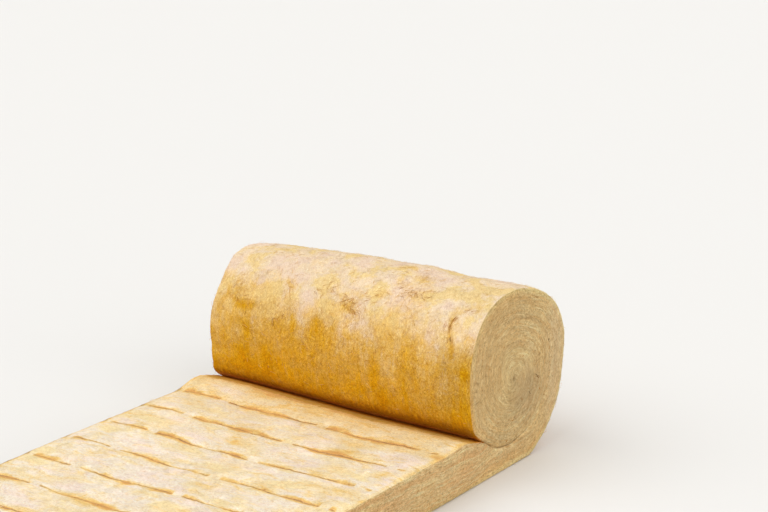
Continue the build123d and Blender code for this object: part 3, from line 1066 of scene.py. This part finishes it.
def makeTopMaterial():
    look = topLook
    material, shader = newMaterial("paleUpperFace")
    place, flat = woolPlace()
    x, along, _ = parted(flat)
    wide, wider, lessWide = (stretched(flat, (share, 1.0, 1.0)) for share in (0.5, 0.4, 0.6))
    patches, clouds, haloNoise = mottles(wide, look, "patches", "clouds", "halo")
    flecks = mottle(wider, *look["flecks"])
    strong = mottle(lessWide, *look["strong"])
    amount = minus(amberValue(), 0.12)
    for mask, share in ((patches, 0.22), (clouds, 0.42), (flecks, 0.26)):
        amount = timesPlus(mask, share, amount)
    # The marks wander a little, and so does their width. The wool round them is stained.
    slow, quick = noise(flat, 9.0, 1.0)["Fac"], noise(flat, 90.0, 3.0)["Fac"]
    offRow = nudged(nudged(minus(along, mat["firstMark"]), slow, 0.011), quick, 0.006)
    offRow = offNearest(offRow, mat["markSpacing"])
    sideways = nudged(plus(x, halfWidth - look["firstGap"]), slow, 0.012)
    offGap = minus(offNearest(sideways, look["dashLength"]), look["dashGap"] / 2)
    fromEdge = minus(halfWidth, calc("ABSOLUTE", x))
    onDash = times(ramped(offGap, -0.002, 0.003), ramped(fromEdge, look["edgeGap"] - 0.006, look["edgeGap"]))
    onDash = times(onDash, ramped(along, mat["firstMark"] + 0.040, mat["firstMark"] + 0.030))
    lineWidth = ramped(strong, 0.0, 1.0, *look["lineWidth"])
    line = minus(1.0, ramped(offRow, times(lineWidth, 0.3), lineWidth))
    line = times(times(line, onDash), timesPlus(strong, 0.42, 0.24))
    halo = ramped(offRow, timesPlus(haloNoise, 0.012, 0.006), 0.0)
    halo = times(times(halo, onDash), timesPlus(haloNoise, 0.45, 0.45))
    amount = plus(amount, timesPlus(line, 0.5, halo))
    # Both long edges are a little more amber: painted shade of the joints with the mats laid beside this one.
    amount = plus(amount, ramped(fromEdge, 0.010, 0.002, 0.0, 0.25))
    tone = rampOf(amount, look["tones"])
    tone = tinted(tone, noise(wide, 19.0, 4.0, 0.6)["Fac"], ramped(amount, 0.45, 0.05), look)
    tone = blended(line, tone, look["ink"])
    felt = strands(place, *look["felt"])
    toNip = minus(float(laidY[-1]), along)
    tone = layered(tone, look, [
        ("strand", felt["Strands"], 0.20),
        ("pit", ramped(felt["Grain"], 0.50, 0.30), ramped(toNip, 0.12, 0.03, 0.34, 0.60)),
    ])
    tone = grainShaded(tone, flat, look["fine"], 0.32, 1.2, 1.4)
    # A ragged brown strip runs beside the crevice, partly amber stain and partly painted shade; painted shade
    # darkens the mat at the crevice itself.
    ragged = nudged(nudged(toNip, quick, 0.050), slow, 0.024)
    tone = layered(tone, look, [
        ("ragged", ramped(ragged, 0.049, 0.038), 0.74), ("shade", ramped(toNip, 0.018, 0.006), 1.0),
    ])
    height = minus(timesPlus(felt["Strands"], 0.5, felt["Grain"]), times(line, 1.2))
    return finished(material, shader, tone, height, look["grain"])


# The cut edges and ends: tan layers that follow the mat round its turns.
cutLook = dict(
    tan=(250, 201, 122), pale=(255, 232, 170), brown=(194, 136, 66), warm=(251, 187, 92),
    laid=(255, 242, 184), streak=(236, 163, 84), core=(255, 228, 160), eyeBrown=(152, 102, 64),
    eyeBrownAt=(0.300, 0.518, 0.132),
    rim=(248, 180, 60), paleRim=(255, 228, 152), backTint=(230, 207, 180), frontTint=(228, 170, 86),
    # The seam colour is painted shade along the seams between turns.
    seamShade=(134, 88, 36), speck=(134, 90, 38), strand=(255, 240, 192), pit=(146, 98, 42),
    layers=((8, 190, 1), 0.34, 0.66, 0.3, 0.7), fineLayers=((46, 520, 1), 0.36, 0.66, 0.4, 0.65),
    longLayers=((10, 270, 1), 0.37, 0.63, 0.3, 0.66), ticks=((70, 330, 1), 0.60, 0.74, 0.3, 0.5),
    bands=((5, 74, 1), 0.40, 0.62, 0.2, 0.5), clouds=(14.0, 0.35, 0.68, 1.0),
    speckle=(190.0, 0.44, 0.68, 1.0, 0.6), felt=(0.6, 1.0), fine=(80, 430, 1), grain=0.0018,
)


def makeCutMaterial():
    look = cutLook
    nip = pathLength[rollNip]
    material, shader = newMaterial("tanCutEdge")
    place, lengths = woolPlace()
    along, deep, _ = parted(lengths)
    along = calc("MODULO", along, cutEdge["leftShift"])
    _, back, high = parted(place)
    # The layers wander a little through the thickness. Those of the laid length are longer than the roll's.
    bend = vectorCalc("SUBTRACT", noise(place, 28.0, 3.0)["Color"], (0.5, 0.5, 0.5))
    waved = vectorCalc("ADD", lengths, vectorCalc("MULTIPLY", bend, (0.0, 0.010, 0.0)))
    layers, fine, longer = mottles(waved, look, "layers", "fineLayers", "longLayers")
    ticks, bands = mottles(waved, look, "ticks", "bands")
    clouds, speckle = mottles(place, look, "clouds", "speckle")
    laid = ramped(along, 1.25, 1.00)
    fine = timesPlus(minus(longer, fine), laid, fine)
    brown = blended(laid, look["brown"], look["streak"])
    # The wool is browner beside the eye. Towards the amber underside it is warmer, and its rim is amber.
    nearEye = ramped(vectorCalc("DISTANCE", place, look["eyeBrownAt"]), 0.075, 0.020)
    nearSkin = times(ramped(deep, 0.036, 0.006), ramped(along, 1.80, 1.60))
    rim = times(ramped(deep, 0.0150, 0.0010), ramped(along, nip, nip - 0.05))
    rimTone = blended(ramped(along, 1.68, 1.84), look["paleRim"], look["rim"])
    felt = strands(place, *look["felt"])
    pits = larger(ramped(felt["Grain"], 0.50, 0.30), times(speckle, 0.6))
    # The front of the roll's end is a little warmer, and its outer turn at the back paler, a little darkened
    # as painted shade where the rim falls away.
    tone = layered(blended(layers, look["tan"], look["pale"]), look, [
        # The laid length is painted paler: painted light that makes up for the shade it gets low beside the
        # floor.
        ("laid", laid, 0.66),
        # The core round the eye is paler: painted light that lifts the shade in the eye.
        ("core", ramped(along, 2.36, 2.54), 0.85),
        ("warm", clouds, 0.40),
        (brown, bands, timesPlus(laid, 0.28, 0.32)),
        (brown, fine, timesPlus(laid, 0.22, 0.56)),
        ("eyeBrown", nearEye, 0.44),
        ("warm", nearSkin, timesPlus(bands, 0.40, 0.25)),
        (rimTone, rim, 0.85),
        ("speck", ticks, 0.36),
        ("frontTint", ramped(back, 0.52, 0.40, 0.0, 0.30), ramped(high, 0.10, 0.17)),
        ("backTint", ramped(back, 0.565, 0.615), 0.26),
        ("strand", felt["Strands"], 0.34),
        ("pit", pits, ramped(along, 2.36, 2.60, 0.62, 0.40)),
    ])
    tone = grainShaded(tone, waved, look["fine"], ramped(along, 0.95, 0.50, 0.27, 0.42), 1.8, 2.7)
    # Painted shade in the seam groove: a darker line parts one turn from the next, strongest by the nip.
    seamShadeMask = times(ramped(deep, 0.0034, 0.0010), ramped(along, nip - 0.004, nip + 0.004))
    seamShadeMask = times(seamShadeMask, ramped(along, nip + 0.03, nip + 0.30, 0.62, 0.10))
    tone = layered(tone, look, [("seamShade", seamShadeMask, ramped(clouds, 0.8, 0.2, 0.5, 1.0))])
    height = timesPlus(felt["Strands"], 0.4, felt["Grain"])
    for mask, share in ((fine, -0.6), (layers, 0.7), (ticks, -0.9)):
        height = timesPlus(mask, share, height)
    return finished(material, shader, tone, height, look["grain"])


# The tufts and scraps: each fibre has its own tone, from the amber attribute.
tuftTones = [(0.0, 240, 200, 130), (0.7, 188, 124, 42), (1.0, 116, 76, 34)]


def makeTuftMaterial():
    material, shader = newMaterial("tuftedFibre")
    plug(shader["Base Color"], rampOf(amberValue(), tuftTones))
    return material


for woolLook in (makeSkinMaterial(), makeTopMaterial(), makeCutMaterial(), makeTuftMaterial()):
    for piece in woolPieces:
        piece.data.materials.append(woolLook)
print("wool materials made")

# The photo's own view: the place in metres, the lens in millimetres, the angles in radians.
cameraPlace = dict(
    place=(2.02259, -2.47557, 1.34064), lens=93.77, sensor=36.0,
    turn=-0.597937, tilt=0.270990, roll=0.00880625, clipEnd=200,
)


def standCamera():
    turn, tilt, roll = cameraPlace["turn"], cameraPlace["tilt"], cameraPlace["roll"]
    ahead = Vector((math.sin(turn) * math.cos(tilt), math.cos(turn) * math.cos(tilt), -math.sin(tilt)))
    level = Vector((math.cos(turn), -math.sin(turn), 0))
    upright = level.cross(ahead)
    right = level * math.cos(roll) + upright * math.sin(roll)
    up = upright * math.cos(roll) - level * math.sin(roll)
    data = bpy.data.cameras.new("photoCamera")
    data.lens = cameraPlace["lens"]
    data.sensor_width = cameraPlace["sensor"]
    data.clip_end = cameraPlace["clipEnd"]
    camera = inScene("photoCamera", data)
    axes = Matrix((right, up, -ahead)).transposed().to_4x4()
    camera.matrix_world = Matrix.Translation(cameraPlace["place"]) @ axes
    bpy.context.scene.camera = camera


standCamera()
print("camera placed")

studio = dict(
    floorTone=(0.82, 0.81, 0.79, 1.0), floorSize=40.0, floorPoints=9, floorDrop=0.0005, floorRoughness=0.9,
    skyTone=(1.0, 0.99, 0.97, 1.0), sky=0.51,
    lamps=[  # where the light comes from, spread in degrees, strength
        ((-0.55, -0.75, 1.15), 60.0, 1.22),
        ((1.00, -0.55, 0.50), 70.0, 1.40),
        ((-0.10, 1.00, 0.75), 70.0, 0.75),
    ],
)


def makeStudio():
    many = studio["floorPoints"]
    edge = np.linspace(-studio["floorSize"] / 2, studio["floorSize"] / 2, many)
    spots = together(*np.meshgrid(edge, edge, indexing="ij"), -studio["floorDrop"]).reshape(-1, 3)
    mesh = bpy.data.meshes.new("studioFloor")
    mesh.from_pydata(spots.tolist(), [], cellsOf(np.arange(many ** 2).reshape(many, many)).tolist())
    inScene("studioFloor", mesh)
    material, shader = newMaterial("paleFloor", studio["floorRoughness"])
    shader["Base Color"].default_value = studio["floorTone"]
    mesh.materials.append(material)
    world = bpy.data.worlds.new("studioWorld")
    world.use_nodes = True
    background = world.node_tree.nodes["Background"].inputs
    background["Color"].default_value = studio["skyTone"]
    background["Strength"].default_value = studio["sky"]
    bpy.context.scene.world = world
    for number, (towards, spread, strength) in enumerate(studio["lamps"]):
        light = bpy.data.lights.new("softLamp%d" % (number + 1), "SUN")
        light.energy = strength
        light.angle = math.radians(spread)
        lamp = inScene(light.name, light)
        lamp.location = towards
        lamp.rotation_mode = "QUATERNION"
        lamp.rotation_quaternion = Vector(towards).to_track_quat("Z", "Y")


makeStudio()
bpy.context.scene.view_settings.view_transform = "Standard"
print("studio made")
